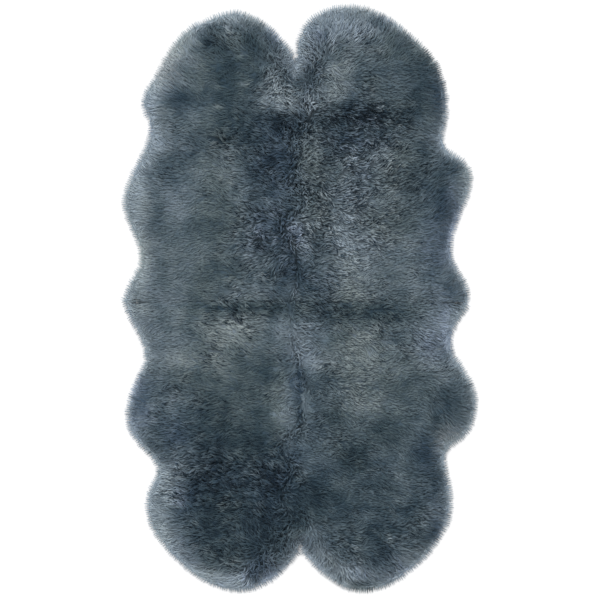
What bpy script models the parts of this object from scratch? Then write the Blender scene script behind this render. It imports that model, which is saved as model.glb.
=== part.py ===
"""A sheepskin rug of four pelts, lying wool side up on the floor.

Four trimmed sheepskins are sewn edge to edge, two at the head end (+Y) and two at the
foot end (-Y). Each pelt is two solids: its hide, a thin flat sheet on the floor, and its
fleece, a lumpy slab of wool that stands on the hide, hangs over its edge and reaches the
floor in a rim of locks. Sizes are in metres.
"""
from collections import namedtuple
import math
import random

import bmesh
import bpy
import numpy as np
from mathutils import Vector, geometry, noise

MM = 0.001

# Driving dimensions
PILE_HEIGHT = 52 * MM        # top of the wool over the middle of a pelt, from the floor
HIDE_THICKNESS = 2 * MM
HIDE_INSET = 46 * MM         # how far the wool reaches past the hide's cut edge
SEAM_GAP = 0.3 * MM          # between pelts, and between a hide and the wool round it
FALL_WIDTH = 85 * MM         # the wool drops to the floor over this width
FALL_ROUNDNESS = 0.8         # below 1 the drop is rounder than a quarter sine
SEAM_DIP = 8 * MM            # the wool parts a little over each seam
SEAM_DIP_WIDTH = 26 * MM
TUFT_SPACING = 26 * MM       # between the points that carry the lumps of the fleece
RIM_STEP = 4 * MM            # between the points that a rim curve is read at
RIM_HANDLE = 0.38            # a rim curve's handles, as a share of the way to the next form

# A lock of wool at the rim: three rows of points, from its root to its tip
LOCK_PITCH = 22.5 * MM
LOCK_LENGTH = 21 * MM
LOCK_LENGTH_SPREAD = 5 * MM
LOCK_LEAN = 0.28             # sideways sweep of a tip, as a share of the pitch
LOCK_SHORTFALL = 0.16        # a tip may stop short of the rim by this share of its length
LOCK_FLANK_SHARE = 0.45      # how far along a lock its flanks are, from the tip
LOCK_FLANK_WIDTH = 0.3       # from a lock's middle to its flank, as a share of the pitch
LOCK_RIDGE_SHARE = 0.7       # how far along a lock its ridge is highest, from the tip
LOCK_CLEFT_HEIGHT = 8 * MM   # wool left at the foot of the gap between two locks
LOCK_FLANK_HEIGHT = 5 * MM
LOCK_TIP_HEIGHT = 3.5 * MM
LOCK_RIDGE_HEIGHT = 16 * MM
LOCK_SEED = 11
NOTCH_DEPTH = 1.6            # how far the wool parts below an end notch, in lock lengths

TUFT_CLEARANCE = 0.6         # nearest that two points of the fleece come, in spacings
SEAM_CLEARANCE = 0.3         # nearest that a point inside a fleece comes to a seam
HIDE_STEP = 14 * MM          # between the points of a hide's cut edge
HIDE_STEP_SLACK = 0.004      # nearness allowed where the edge is read between its points
CUTTER_MARGIN = 6 * MM       # a cutter reaches past what it cuts
CDT_TOLERANCE = 1e-6
WELD_DISTANCE = 1e-6
SHARP_ANGLE_DEG = 50

WOOL_COLOUR = (0.085, 0.125, 0.155, 1.0)
WOOL_ROUGHNESS = 0.85
HIDE_COLOUR = (0.30, 0.35, 0.39, 1.0)
HIDE_ROUGHNESS = 0.75

# Lumps of the fleece: uneven swells of the wool, each with its width and its height
Lump = namedtuple("Lump", "width_mm height_mm")
LUMPS = (
    Lump(170, 5.0),
    Lump(82, 6.5),
    Lump(48, 3.5),
)

# The rim of each pelt, from the cross seam round to the lengthwise seam. A row is one
# form of the outline: how far it lies across from the lengthwise seam, and how far along
# from the cross seam, both in millimetres and outward.
Form = namedtuple("Form", "name across along")
HEAD_LEFT_RIM = (
    Form("flank", 541, 0),
    Form("waist", 491, 143),
    Form("foreleg", 542, 308),
    Form("foreleg shoulder", 510, 405),
    Form("neck hollow", 456, 540),
    Form("cheek", 486, 612),
    Form("cheek top", 453, 685),
    Form("brow", 367, 824),
    Form("crown side", 261, 890),
    Form("crown", 178, 905),
    Form("crown fall", 78, 850),
    Form("head notch", 8, 772),
)
HEAD_RIGHT_RIM = (
    Form("flank", 537, 0),
    Form("flank top", 530, 52),
    Form("waist", 485, 146),
    Form("waist top", 498, 246),
    Form("foreleg", 544, 362),
    Form("foreleg top", 533, 431),
    Form("neck hollow", 453, 489),
    Form("neck step", 462, 545),
    Form("cheek", 469, 620),
    Form("cheek top", 436, 742),
    Form("brow", 337, 847),
    Form("brow top", 244, 906),
    Form("crown", 166, 924),
    Form("crown side", 62, 901),
    Form("crown fall", 6, 830),
    Form("head notch", -8, 772),
)
FOOT_LEFT_RIM = (
    Form("flank", 541, 0),
    Form("flank top", 523, 52),
    Form("waist", 475, 168),
    Form("hind leg side", 504, 248),
    Form("hind leg", 532, 345),
    Form("hind leg top", 510, 424),
    Form("thigh hollow", 436, 515),
    Form("rump side", 468, 600),
    Form("rump corner", 454, 704),
    Form("rump", 335, 840),
    Form("tail end", 190, 904),
    Form("tail side", 73, 865),
    Form("tail notch", -12, 779),
)
FOOT_RIGHT_RIM = (
    Form("flank", 537, 0),
    Form("waist side", 497, 74),
    Form("waist", 478, 134),
    Form("hind leg side", 525, 212),
    Form("hind leg", 560, 304),
    Form("hind leg top", 533, 412),
    Form("thigh hollow", 463, 470),
    Form("rump side", 480, 590),
    Form("rump corner", 462, 706),
    Form("rump", 344, 848),
    Form("tail end", 200, 903),
    Form("tail side", 90, 857),
    Form("tail notch", 12, 779),
)

# A pelt's place: +1 or -1 across (right or left) and along (head or foot)
Pelt = namedtuple("Pelt", "name across_side along_side rim")
PELTS = (
    Pelt("head_left", -1, 1, HEAD_LEFT_RIM),
    Pelt("head_right", 1, 1, HEAD_RIGHT_RIM),
    Pelt("foot_left", -1, -1, FOOT_LEFT_RIM),
    Pelt("foot_right", 1, -1, FOOT_RIGHT_RIM),
)


def clear_scene():
    for item in list(bpy.data.objects):
        bpy.data.objects.remove(item, do_unlink=True)


def new_collection(name):
    collection = bpy.data.collections.new(name)
    bpy.context.scene.collection.children.link(collection)
    return collection


def make_material(name, colour, roughness):
    material = bpy.data.materials.new(name)
    material.use_nodes = True
    shader = material.node_tree.nodes["Principled BSDF"]
    shader.inputs["Base Color"].default_value = colour
    shader.inputs["Roughness"].default_value = roughness
    shader.inputs["Metallic"].default_value = 0.0
    return material


def rim_curve(pelt):
    """Read the smooth curve through a rim's forms, as points (across, along)."""
    forms = [Vector((form.across, form.along)) * MM for form in pelt.rim]
    mirrored = Vector((forms[1].x, -forms[1].y))
    around = [mirrored] + forms + [forms[-1]]
    points = []
    for before, start, end, after in zip(around, around[1:], around[2:], around[3:]):
        handle = (end - start).length * RIM_HANDLE
        handle_out = start + (end - before).normalized() * handle
        handle_in = end - (after - start).normalized() * handle
        steps = max(2, round((end - start).length / RIM_STEP))
        stretch = geometry.interpolate_bezier(start, handle_out, handle_in, end, steps + 1)
        points.extend(Vector(point[:2]) for point in stretch[:-1])
    points.append(forms[-1])
    return points


class Rim:
    """A rim curve that can be read at any distance along it."""

    def __init__(self, pelt):
        self.points = rim_curve(pelt)
        self.reach = [0.0]
        for start, end in zip(self.points, self.points[1:]):
            self.reach.append(self.reach[-1] + (end - start).length)
        self.length = self.reach[-1]

    def at(self, distance):
        across = np.interp(distance, self.reach, [point.x for point in self.points])
        along = np.interp(distance, self.reach, [point.y for point in self.points])
        return Vector((float(across), float(along)))

    def inward(self, distance):
        """The direction from the rim towards the middle of the pelt."""
        heading = (self.at(distance + RIM_STEP) - self.at(distance - RIM_STEP)).normalized()
        return Vector((-heading.y, heading.x))

    def inside(self, distance, depth):
        return self.at(distance) + self.inward(distance) * depth

    def depth_of(self, point):
        return min((point - rim_point).length for rim_point in self.points)


def end_notch(pelt):
    """Where the lengthwise seam comes out at the end of the rug."""
    notch = pelt.rim[-1]
    return Vector((notch.across, notch.along)) * MM


def seam_normal(pelt):
    """The direction from the lengthwise seam into the pelt."""
    notch = end_notch(pelt)
    return Vector((notch.y, -notch.x)).normalized()


def hold_off_seams(pelt, point, gap):
    """Move a point that is over or too near a seam back to the pelt's own side."""
    normal = seam_normal(pelt)
    held = point + normal * max(0.0, gap - point.dot(normal))
    held.y = max(held.y, gap)
    return held


def clear_of_seams(pelt, point, gap):
    return point.y > gap and point.dot(seam_normal(pelt)) > gap


def seam_crossing(pelt, gap):
    """The pelt's corner where its two seams cross, held off both of them."""
    normal = seam_normal(pelt)
    return Vector((gap * (1 - normal.y) / normal.x, gap))


def to_rug(pelt, point):
    """Turn a pelt's own (across, along) into the rug's X and Y, from the seam crossing."""
    return Vector((point.x * pelt.across_side, point.y * pelt.along_side))


def lock_outline(pelt, rim):
    """Lay out a pelt's locks: their outline and their ridges, as (point, height) pairs."""
    spread = random.Random(f"{LOCK_SEED} {pelt.name}")
    count = round(rim.length / LOCK_PITCH)
    pitch = rim.length / count
    outline = []
    ridges = []
    for number in range(count):
        start = number * pitch
        middle = start + pitch / 2 + spread.uniform(-LOCK_LEAN, LOCK_LEAN) * pitch / 2
        tip = middle + spread.uniform(-LOCK_LEAN, LOCK_LEAN) * pitch
        length = LOCK_LENGTH + spread.uniform(-LOCK_LENGTH_SPREAD, LOCK_LENGTH_SPREAD)
        short = spread.uniform(0, LOCK_SHORTFALL) * length
        flank = length * LOCK_FLANK_SHARE + short
        half_width = pitch * LOCK_FLANK_WIDTH
        outline.append((rim.inside(start, length), LOCK_CLEFT_HEIGHT))
        outline.append((rim.inside(middle - half_width, flank), LOCK_FLANK_HEIGHT))
        outline.append((rim.inside(tip, short), LOCK_TIP_HEIGHT))
        outline.append((rim.inside(middle + half_width, flank), LOCK_FLANK_HEIGHT))
        ridges.append((rim.inside(middle, length * LOCK_RIDGE_SHARE + short), LOCK_RIDGE_HEIGHT))
    notch = end_notch(pelt)
    foot_of_notch = notch - notch.normalized() * LOCK_LENGTH * NOTCH_DEPTH
    outline.append((foot_of_notch, LOCK_CLEFT_HEIGHT))
    return outline, ridges


def wool_top(pelt, rim, point):
    """Height of the wool over a point of the pelt."""
    fall = min(1.0, rim.depth_of(point) / FALL_WIDTH)
    edge = math.sin(fall * math.pi / 2) ** FALL_ROUNDNESS
    off_long_seam = point.dot(seam_normal(pelt))
    dip = math.exp(-(off_long_seam / SEAM_DIP_WIDTH) ** 2)
    dip = max(dip, math.exp(-(point.y / SEAM_DIP_WIDTH) ** 2))
    place = to_rug(pelt, point).to_3d()
    lumps = sum(noise.noise(place / (lump.width_mm * MM)) * lump.height_mm * MM for lump in LUMPS)
    return edge * (PILE_HEIGHT - SEAM_DIP * dip + lumps)


def seam_points(start, end):
    """Points along a seam, from start up to a little short of end."""
    count = int((end - start).length / TUFT_SPACING)
    heading = (end - start).normalized()
    return [start + heading * TUFT_SPACING * number for number in range(1, count)]


def inside_outline(outline, point):
    """Whether a point lies within a closed outline: it is left of an odd count of edges."""
    crossings = 0
    for start, end in zip(outline, outline[1:] + outline[:1]):
        if (start.y > point.y) != (end.y > point.y):
            share = (point.y - start.y) / (end.y - start.y)
            if point.x < start.x + share * (end.x - start.x):
                crossings += 1
    return crossings % 2 == 1


def tuft_points(taken):
    """Evenly staggered points that cover an outline, clear of the points already taken."""
    row_height = TUFT_SPACING * math.sqrt(3) / 2
    clear = TUFT_SPACING * TUFT_CLEARANCE
    low = Vector((min(point.x for point in taken), min(point.y for point in taken)))
    high = Vector((max(point.x for point in taken), max(point.y for point in taken)))
    rows = range(math.ceil((high.y - low.y) / row_height) + 1)
    columns = range(math.ceil((high.x - low.x) / TUFT_SPACING) + 1)
    found = []
    for row in rows:
        for column in columns:
            stagger = (row % 2) / 2
            point = low + Vector(((column + stagger) * TUFT_SPACING, (row + 0.5) * row_height))
            if min((point - other).length for other in taken) > clear:
                found.append(point)
    return found


def fill_fleece(pelt, rim):
    """Every point of a fleece's top, with its height: first its outline, then the inside."""
    gap = SEAM_GAP / 2
    locks, ridges = lock_outline(pelt, rim)
    locks = [(hold_off_seams(pelt, point, gap), height) for point, height in locks]
    crossing = seam_crossing(pelt, gap)
    cross_seam = seam_points(crossing, locks[0][0])
    long_seam = seam_points(crossing, locks[-1][0])
    long_seam.reverse()
    outline = [(crossing, wool_top(pelt, rim, crossing))]
    outline += [(point, wool_top(pelt, rim, point)) for point in cross_seam]
    outline += locks
    outline += [(point, wool_top(pelt, rim, point)) for point in long_seam]
    border = [point for point, _height in outline]
    taken = border + [point for point, _height in ridges]
    inside = list(ridges)
    for point in tuft_points(taken):
        clear = clear_of_seams(pelt, point, TUFT_SPACING * SEAM_CLEARANCE)
        if clear and inside_outline(border, point):
            inside.append((point, wool_top(pelt, rim, point)))
    return outline, inside


def fleece_mesh(pelt, rim):
    """Stand a fleece on its flat underside: fill the outline, extrude it, raise its top."""
    outline, inside = fill_fleece(pelt, rim)
    points = [to_rug(pelt, point) for point, _height in outline + inside]
    heights = [height for _point, height in outline + inside]
    loop = list(range(len(outline)))
    if pelt.across_side * pelt.along_side < 0:
        loop.reverse()
    filled = geometry.delaunay_2d_cdt(points, [], [loop], 1, CDT_TOLERANCE)
    fleece = bmesh.new()
    height_of = fleece.verts.layers.float.new("wool height")
    for place, sources in zip(filled[0], filled[3]):
        vertex = fleece.verts.new((place.x, place.y, 0.0))
        vertex[height_of] = heights[sources[0]]
    fleece.verts.ensure_lookup_table()
    for corners in filled[2]:
        fleece.faces.new([fleece.verts[corner] for corner in corners])
    underside = list(fleece.faces)
    raised = bmesh.ops.extrude_face_region(fleece, geom=underside)
    for item in raised["geom"]:
        if isinstance(item, bmesh.types.BMVert):
            item.co.z = item[height_of]
    bmesh.ops.dissolve_faces(fleece, faces=underside)
    bmesh.ops.recalc_face_normals(fleece, faces=fleece.faces)
    mesh = bpy.data.meshes.new(f"fleece_{pelt.name}")
    fleece.to_mesh(mesh)
    fleece.free()
    mesh.shade_smooth()
    mesh.set_sharp_from_angle(angle=math.radians(SHARP_ANGLE_DEG))
    return mesh


def hide_outline(pelt, rim, inset, gap):
    """A hide's cut edge: the rim moved inward, then closed along its two seams.

    Where the rim bends more tightly than the inset, the moved points that would double
    back are left out. A negative gap takes the outline past the seams.
    """
    normal = seam_normal(pelt)
    steps = round(rim.length / HIDE_STEP)
    edge = []
    for step in range(steps + 1):
        point = rim.inside(rim.length * step / steps, inset)
        clear_of_rim = rim.depth_of(point) > inset * (1 - HIDE_STEP_SLACK)
        if clear_of_rim and clear_of_seams(pelt, point, gap):
            edge.append(point)
    at_cross_seam = Vector((edge[0].x, gap))
    at_long_seam = edge[-1] - normal * (edge[-1].dot(normal) - gap)
    return [seam_crossing(pelt, gap), at_cross_seam] + edge + [at_long_seam]


def flat_sheet(name, outline, bottom, top):
    """A flat outline with a thickness, as a filled 2D curve."""
    curve = bpy.data.curves.new(name, "CURVE")
    curve.dimensions = "2D"
    curve.fill_mode = "BOTH"
    curve.extrude = (top - bottom) / 2
    spline = curve.splines.new("POLY")
    spline.points.add(len(outline) - 1)
    for spline_point, point in zip(spline.points, outline):
        spline_point.co = (point.x, point.y, 0.0, 1.0)
    spline.use_cyclic_u = True
    sheet = bpy.data.objects.new(name, curve)
    sheet.location.z = (top + bottom) / 2
    return sheet


def make_hide(pelt, rim):
    outline = hide_outline(pelt, rim, HIDE_INSET, SEAM_GAP / 2)
    outline = [to_rug(pelt, point) for point in outline]
    return flat_sheet(f"hide_{pelt.name}", outline, 0.0, HIDE_THICKNESS)


def make_recess(pelt, rim, cutters):
    """The cutter that hollows a fleece's underside where the hide lies."""
    outline = hide_outline(pelt, rim, HIDE_INSET - SEAM_GAP, -CUTTER_MARGIN)
    outline = [to_rug(pelt, point) for point in outline]
    curve = flat_sheet(f"recess_{pelt.name}", outline, -CUTTER_MARGIN, HIDE_THICKNESS + SEAM_GAP)
    cutters.objects.link(curve)
    seen = curve.evaluated_get(bpy.context.evaluated_depsgraph_get())
    mesh = bpy.data.meshes.new_from_object(seen)
    solid = bmesh.new()
    solid.from_mesh(mesh)
    bmesh.ops.remove_doubles(solid, verts=solid.verts, dist=WELD_DISTANCE)
    bmesh.ops.recalc_face_normals(solid, faces=solid.faces)
    solid.to_mesh(mesh)
    solid.free()
    cutter = bpy.data.objects.new(curve.name, mesh)
    cutter.matrix_world = curve.matrix_world
    bpy.data.objects.remove(curve, do_unlink=True)
    cutter.name = f"recess_{pelt.name}"
    cutter.hide_render = True
    cutter.display_type = "WIRE"
    cutters.objects.link(cutter)
    return cutter


def make_fleece(pelt, rim, recess):
    """A fleece, hollowed underneath so that it sits over its hide."""
    fleece = bpy.data.objects.new(f"fleece_{pelt.name}", fleece_mesh(pelt, rim))
    cut = fleece.modifiers.new("hide recess", "BOOLEAN")
    cut.operation = "DIFFERENCE"
    cut.solver = "EXACT"
    cut.object = recess
    return fleece


def rug_centre(rims):
    """The middle of the box that all the locks reach, on the floor."""
    reach = []
    for pelt, rim in rims:
        locks, _ridges = lock_outline(pelt, rim)
        reach.extend(to_rug(pelt, point) for point, _height in locks)
    across = [point.x for point in reach]
    along = [point.y for point in reach]
    return Vector(((min(across) + max(across)) / 2, (min(along) + max(along)) / 2, 0.0))


def build_rug():
    clear_scene()
    rug = new_collection("sheepskin_rug")
    cutters = new_collection("cutters")
    wool = make_material("wool", WOOL_COLOUR, WOOL_ROUGHNESS)
    leather = make_material("hide", HIDE_COLOUR, HIDE_ROUGHNESS)
    rims = [(pelt, Rim(pelt)) for pelt in PELTS]
    middle = bpy.data.objects.new("rug_middle", None)
    middle.location = -rug_centre(rims)
    rug.objects.link(middle)
    for pelt, rim in rims:
        hide = make_hide(pelt, rim)
        hide.data.materials.append(leather)
        recess = make_recess(pelt, rim, cutters)
        fleece = make_fleece(pelt, rim, recess)
        fleece.data.materials.append(wool)
        for piece in (hide, fleece):
            rug.objects.link(piece)
        for piece in (hide, fleece, recess):
            piece.parent = middle


build_rug()
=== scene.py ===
from collections import namedtuple
import math

import bmesh
import bpy
from mathutils import Euler, Matrix, Vector, noise
from mathutils.bvhtree import BVHTree
import numpy as np


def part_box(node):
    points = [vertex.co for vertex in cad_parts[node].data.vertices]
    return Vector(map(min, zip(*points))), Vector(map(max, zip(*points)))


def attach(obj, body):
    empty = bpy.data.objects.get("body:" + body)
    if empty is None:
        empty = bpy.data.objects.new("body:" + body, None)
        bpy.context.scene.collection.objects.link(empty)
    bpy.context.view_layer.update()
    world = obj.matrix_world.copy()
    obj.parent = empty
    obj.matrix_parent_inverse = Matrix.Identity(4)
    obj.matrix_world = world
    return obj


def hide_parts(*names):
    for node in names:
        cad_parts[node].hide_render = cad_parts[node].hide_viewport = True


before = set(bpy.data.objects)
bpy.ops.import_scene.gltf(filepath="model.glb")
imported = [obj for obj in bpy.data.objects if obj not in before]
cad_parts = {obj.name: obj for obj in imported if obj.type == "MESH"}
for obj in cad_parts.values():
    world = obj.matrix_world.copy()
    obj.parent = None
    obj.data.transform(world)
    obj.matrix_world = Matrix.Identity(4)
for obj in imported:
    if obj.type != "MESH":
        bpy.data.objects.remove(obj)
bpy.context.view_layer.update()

MM = 0.001

# Where the rug lies ---------------------------------------------------------------------
# Four trimmed sheepskins, two at the head end (+Y) and two at the foot end, sewn edge to
# edge on their hide side. Their two seams cross near the middle, and places on the rug
# are measured from there.
PELTS = ("head_left", "head_right", "foot_left", "foot_right")
SEAM_GAP = 0.3 * MM
CROSSING = np.array((
    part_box("hide_foot_right")[0][0] - SEAM_GAP / 2,
    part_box("hide_head_right")[0][1] - SEAM_GAP / 2,
))


# Camera ---------------------------------------------------------------------------------
# It looks straight down on the rug, head end up, through a long lens from high above, so
# that the wool's sides stay out of sight.
FLOOR_IN_VIEW = 1.8705           # metres of floor across the square frame
VIEW_MIDDLE = CROSSING + np.array((9.35, 6.24)) * MM
LENS_MM = 100
SENSOR_MM = 36

camera_data = bpy.data.cameras.new("camera")
camera_data.lens = LENS_MM
camera_data.sensor_width = SENSOR_MM
camera = bpy.data.objects.new("camera", camera_data)
camera.location = (*VIEW_MIDDLE, FLOOR_IN_VIEW * LENS_MM / SENSOR_MM)
bpy.context.scene.collection.objects.link(camera)
bpy.context.scene.camera = camera


# Hides ----------------------------------------------------------------------------------
# Each hide is tanned skin about 2 mm thick, cut to the pelt's shape well inside the rim
# of its wool. Its flesh side, which lies on the floor, is buffed to a soft suede, and
# the wool's dye has tinted it.
HIDE_THICKNESS = 1.8 * MM
HIDE_BOTTOM = 0.3 * MM
HIDE_EDGE_LIFT = 0.2 * MM        # it curls up a little, unevenly
HIDE_CURLS = 14                  # about this many curls to the metre
HIDE_MIDDLE = 1 * MM             # the height that parts its two faces
WELD = 1e-6


def node_mesh(name):
    """A welded copy of a node's mesh from the frame, to be shaped."""
    copy = bmesh.new()
    copy.from_mesh(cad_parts[name].data)
    bmesh.ops.remove_doubles(copy, verts=copy.verts, dist=WELD)
    return copy


def new_piece(name, mesh, material):
    """Put a finished mesh in the scene, riding on the rug."""
    piece = bpy.data.objects.new(name, mesh)
    bpy.context.scene.collection.objects.link(piece)
    mesh.materials.append(material)
    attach(piece, "root")
    return piece


def node_material(name):
    """A new material, with its shader and a function that adds a wired node."""
    material = bpy.data.materials.new(name)
    material.use_nodes = True
    tree = material.node_tree
    shader = tree.nodes["Principled BSDF"]

    def add(kind, inputs=(), **settings):
        node = tree.nodes.new(kind)
        for setting, value in settings.items():
            setattr(node, setting, value)
        for socket, value in dict(inputs).items():
            if isinstance(value, bpy.types.NodeSocket):
                tree.links.new(value, node.inputs[socket])
            else:
                node.inputs[socket].default_value = value
        return node

    def join(output, input_name):
        tree.links.new(output, shader.inputs[input_name])

    return material, shader, add, join


def set_ramp(node, stops):
    """Give a colour ramp its stops, each a position and a colour."""
    ramp = node.color_ramp
    while len(ramp.elements) < len(stops):
        ramp.elements.new(1.0)
    for element, (position, colour) in zip(ramp.elements, stops):
        element.position = position
        element.color = (*colour, 1.0)
    return node.outputs["Color"]


def suede_material():
    """Buffed flesh side: clouded dye, a fine nap and a few wrinkles."""
    material, shader, add, join = node_material("blue-grey suede")
    shader.inputs["Roughness"].default_value = 0.88
    shader.inputs["Sheen Weight"].default_value = 0.35
    shader.inputs["Sheen Roughness"].default_value = 0.45
    place = add("ShaderNodeTexCoord").outputs["Object"]
    clouds = add("ShaderNodeTexNoise", {"Vector": place, "Scale": 9.0, "Detail": 5.0})
    nap = add("ShaderNodeTexNoise", {"Vector": place, "Scale": 900.0, "Detail": 3.0})
    wrinkles = add("ShaderNodeTexVoronoi", {"Vector": place, "Scale": 60.0}, feature="F1")
    dye = set_ramp(add("ShaderNodeValToRGB", {"Fac": clouds.outputs["Fac"]}), (
        (0.30, (0.20, 0.245, 0.28)),
        (0.55, (0.29, 0.34, 0.38)),
        (0.75, (0.38, 0.42, 0.44)),
    ))
    worn = set_ramp(add("ShaderNodeValToRGB", {"Fac": nap.outputs["Fac"]}), (
        (0.30, (0.72, 0.72, 0.72)),
        (0.70, (1.0, 1.0, 1.0)),
    ))
    colour = add("ShaderNodeMix", data_type="RGBA", blend_type="MULTIPLY")
    colour.inputs["Factor"].default_value = 1.0
    material.node_tree.links.new(dye, colour.inputs["A"])
    material.node_tree.links.new(worn, colour.inputs["B"])
    join(colour.outputs["Result"], "Base Color")
    creased = add("ShaderNodeBump", {
        "Height": wrinkles.outputs["Distance"], "Strength": 0.35, "Distance": 0.0006,
    })
    napped = add("ShaderNodeBump", {
        "Height": nap.outputs["Fac"], "Strength": 0.5, "Distance": 0.0003,
        "Normal": creased.outputs["Normal"],
    })
    join(napped.outputs["Normal"], "Normal")
    return material


def make_hide(pelt, material):
    """The frame's hide as a thin skin that curls up a little."""
    skin = node_mesh(f"hide_{pelt}")
    for vertex in skin.verts:
        curl = noise.noise(vertex.co * HIDE_CURLS) * HIDE_EDGE_LIFT
        upper = vertex.co.z > HIDE_MIDDLE
        vertex.co.z = HIDE_BOTTOM + HIDE_EDGE_LIFT + curl + (HIDE_THICKNESS if upper else 0.0)
    mesh = bpy.data.meshes.new(f"hide_skin_{pelt}")
    skin.to_mesh(mesh)
    skin.free()
    return new_piece(mesh.name, mesh, material)


suede = suede_material()
hides = {pelt: make_hide(pelt, suede) for pelt in PELTS}


# Seams ----------------------------------------------------------------------------------
# The hides are sewn edge to edge with an overcast stitch of waxed thread, which shows
# only on the flesh side.
STITCH_PITCH = 4 * MM
STITCH_LENGTH = 5.5 * MM
STITCH_RADIUS = 0.2 * MM
STITCH_HEIGHT = 0.28 * MM
STITCH_SLANT = math.radians(25)
SEAM_LEAN = 12 * MM              # the seams run this close to straight up and across
SEAM_END = 22 * MM               # and their last stitches are this far from the hides' ends


def seam_end(axis, way):
    """Where the arm of the seams that runs this way along an axis ends."""
    corners = [
        vertex.co[:2]
        for hide in hides.values()
        for vertex in hide.data.vertices
        if abs(vertex.co[1 - axis] - CROSSING[1 - axis]) < SEAM_LEAN
    ]
    return np.array(max(corners, key=lambda corner: way * corner[axis]))


def thread_material():
    """Waxed thread, a little darker than the suede."""
    material, shader, _add, _join = node_material("waxed thread")
    shader.inputs["Base Color"].default_value = (0.10, 0.125, 0.145, 1.0)
    shader.inputs["Roughness"].default_value = 0.55
    return material


seams = bmesh.new()
for axis, way in ((0, -1), (0, 1), (1, -1), (1, 1)):
    arm = seam_end(axis, way) - CROSSING
    reach = np.linalg.norm(arm)
    laid = Vector((-arm[1], arm[0], 0))
    laid.rotate(Euler((0, 0, STITCH_SLANT)))
    laid = Vector((0, 0, 1)).rotation_difference(laid).to_matrix().to_4x4()
    for step in np.arange(STITCH_PITCH, reach - SEAM_END, STITCH_PITCH):
        place = Vector((*(CROSSING + arm / reach * step), STITCH_HEIGHT))
        bmesh.ops.create_cone(
            seams, cap_ends=True, segments=6, radius1=STITCH_RADIUS, radius2=STITCH_RADIUS,
            depth=STITCH_LENGTH, matrix=Matrix.Translation(place) @ laid,
        )
seam_mesh = bpy.data.meshes.new("seam_stitches")
seams.to_mesh(seam_mesh)
seams.free()
new_piece("seam_stitches", seam_mesh, thread_material())


# Wool: its shape, read from the frame ---------------------------------------------------
# The wool is clipped to an even depth and falls away to the floor round each pelt. How
# high it stands at a place, and where its rim is, come from the fleeces of the frame.
WALL_SLOPE = 0.02                # a face whose normal rises less than this is a wall
RIM_TOP = 9 * MM                 # along the rim, the frame's fleece is no higher
LOCK_TIP_TOP = 4.2 * MM          # and at the tips of its locks no higher than this
RIM_STEP = 4 * MM
HEADING_STEPS = 4                # the rim's direction is read over this many, both ways
RIM_DEPTH = 26 * MM              # the gaps between the frame's locks reach this far in
RIM_EDGE_TOP = 3 * MM            # and the wool over them rises from this height
RIM_RISE = 0.45                  # by this many millimetres for each one inward
ABOVE = 1.0
DOWN = Vector((0, 0, -1))


def upper_side(pelt):
    """The upper side of a pelt's fleece, without its walls and underside."""
    upper = node_mesh(f"fleece_{pelt}")
    others = [face for face in upper.faces if face.normal.z < WALL_SLOPE]
    bmesh.ops.delete(upper, geom=others, context="FACES")
    return upper


class Rim:
    """The rim of a pelt's wool: places along it, and the way out from each."""

    def __init__(self, pelt):
        upper = upper_side(pelt)
        following = {}
        for edge in upper.edges:
            if edge.is_boundary:
                corner = edge.link_loops[0]
                following[corner.vert] = corner.link_loop_next.vert
        seam_end = next(
            vertex for vertex, after in following.items()
            if vertex.co.z > RIM_TOP > after.co.z
        )
        walk = [following[seam_end]]
        while walk[-1].co.z < RIM_TOP:
            walk.append(following[walk[-1]])
        tips = np.array([vertex.co[:2] for vertex in walk if vertex.co.z < LOCK_TIP_TOP])
        upper.free()
        tips[1:-1] = (tips[:-2] + 2 * tips[1:-1] + tips[2:]) / 4
        start = 1.5 * tips[0] - 0.5 * tips[1]
        end = 1.5 * tips[-1] - 0.5 * tips[-2]
        corners = np.vstack((start, tips, end))
        steps = np.linalg.norm(np.diff(corners, axis=0), axis=1)
        self.tip_reach = np.concatenate(([0.0], np.cumsum(steps)))
        self.length = self.tip_reach[-1]
        self.reach = np.arange(0.0, self.length, RIM_STEP)
        self.corners = corners
        self.place = self.at(self.reach)
        ahead = HEADING_STEPS * RIM_STEP
        heading = self.at(self.reach + ahead) - self.at(self.reach - ahead)
        heading /= np.linalg.norm(heading, axis=1)[:, None]
        self.outward = np.stack((heading[:, 1], -heading[:, 0]), axis=1)

    def at(self, reach):
        """Places at these distances along the rim."""
        reach = np.clip(reach, 0.0, self.length)
        across = np.interp(reach, self.tip_reach, self.corners[:, 0])
        along = np.interp(reach, self.tip_reach, self.corners[:, 1])
        return np.stack((across, along), axis=1)

    def way_out(self, reach):
        """The direction out of the wool at these distances along the rim."""
        across = np.interp(reach, self.reach, self.outward[:, 0])
        along = np.interp(reach, self.reach, self.outward[:, 1])
        return unit(np.stack((across, along), axis=1))

    def nearest(self, places):
        """How deep each place is inside the rim, the way out, and how far off the rim it is."""
        gaps = np.linalg.norm(places[:, None, :] - self.place[None, :, :], axis=2)
        index = gaps.argmin(axis=1)
        outward = self.outward[index]
        depth = ((self.place[index] - places) * outward).sum(axis=1)
        return depth, outward, gaps.min(axis=1)


def unit(vectors):
    """The same directions, one unit long."""
    return vectors / np.linalg.norm(vectors, axis=-1, keepdims=True)


def wool_tree(pelts):
    """The upper sides of these pelts' fleeces, to read the wool's height from."""
    corners = []
    faces = []
    for pelt in pelts:
        upper = upper_side(pelt)
        first = len(corners)
        upper.verts.index_update()
        corners.extend(vertex.co.copy() for vertex in upper.verts)
        faces.extend([first + vertex.index for vertex in face.verts] for face in upper.faces)
        upper.free()
    return BVHTree.FromPolygons(corners, faces)


def wool_height(tree, places):
    """The height of the wool's top over each place, and nan where there is no wool."""
    found = np.full(len(places), np.nan)
    for number, (across, along) in enumerate(places):
        hit = tree.ray_cast(Vector((across, along, ABOVE)), DOWN)[0]
        if hit is not None:
            found[number] = hit.z
    return found


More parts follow.
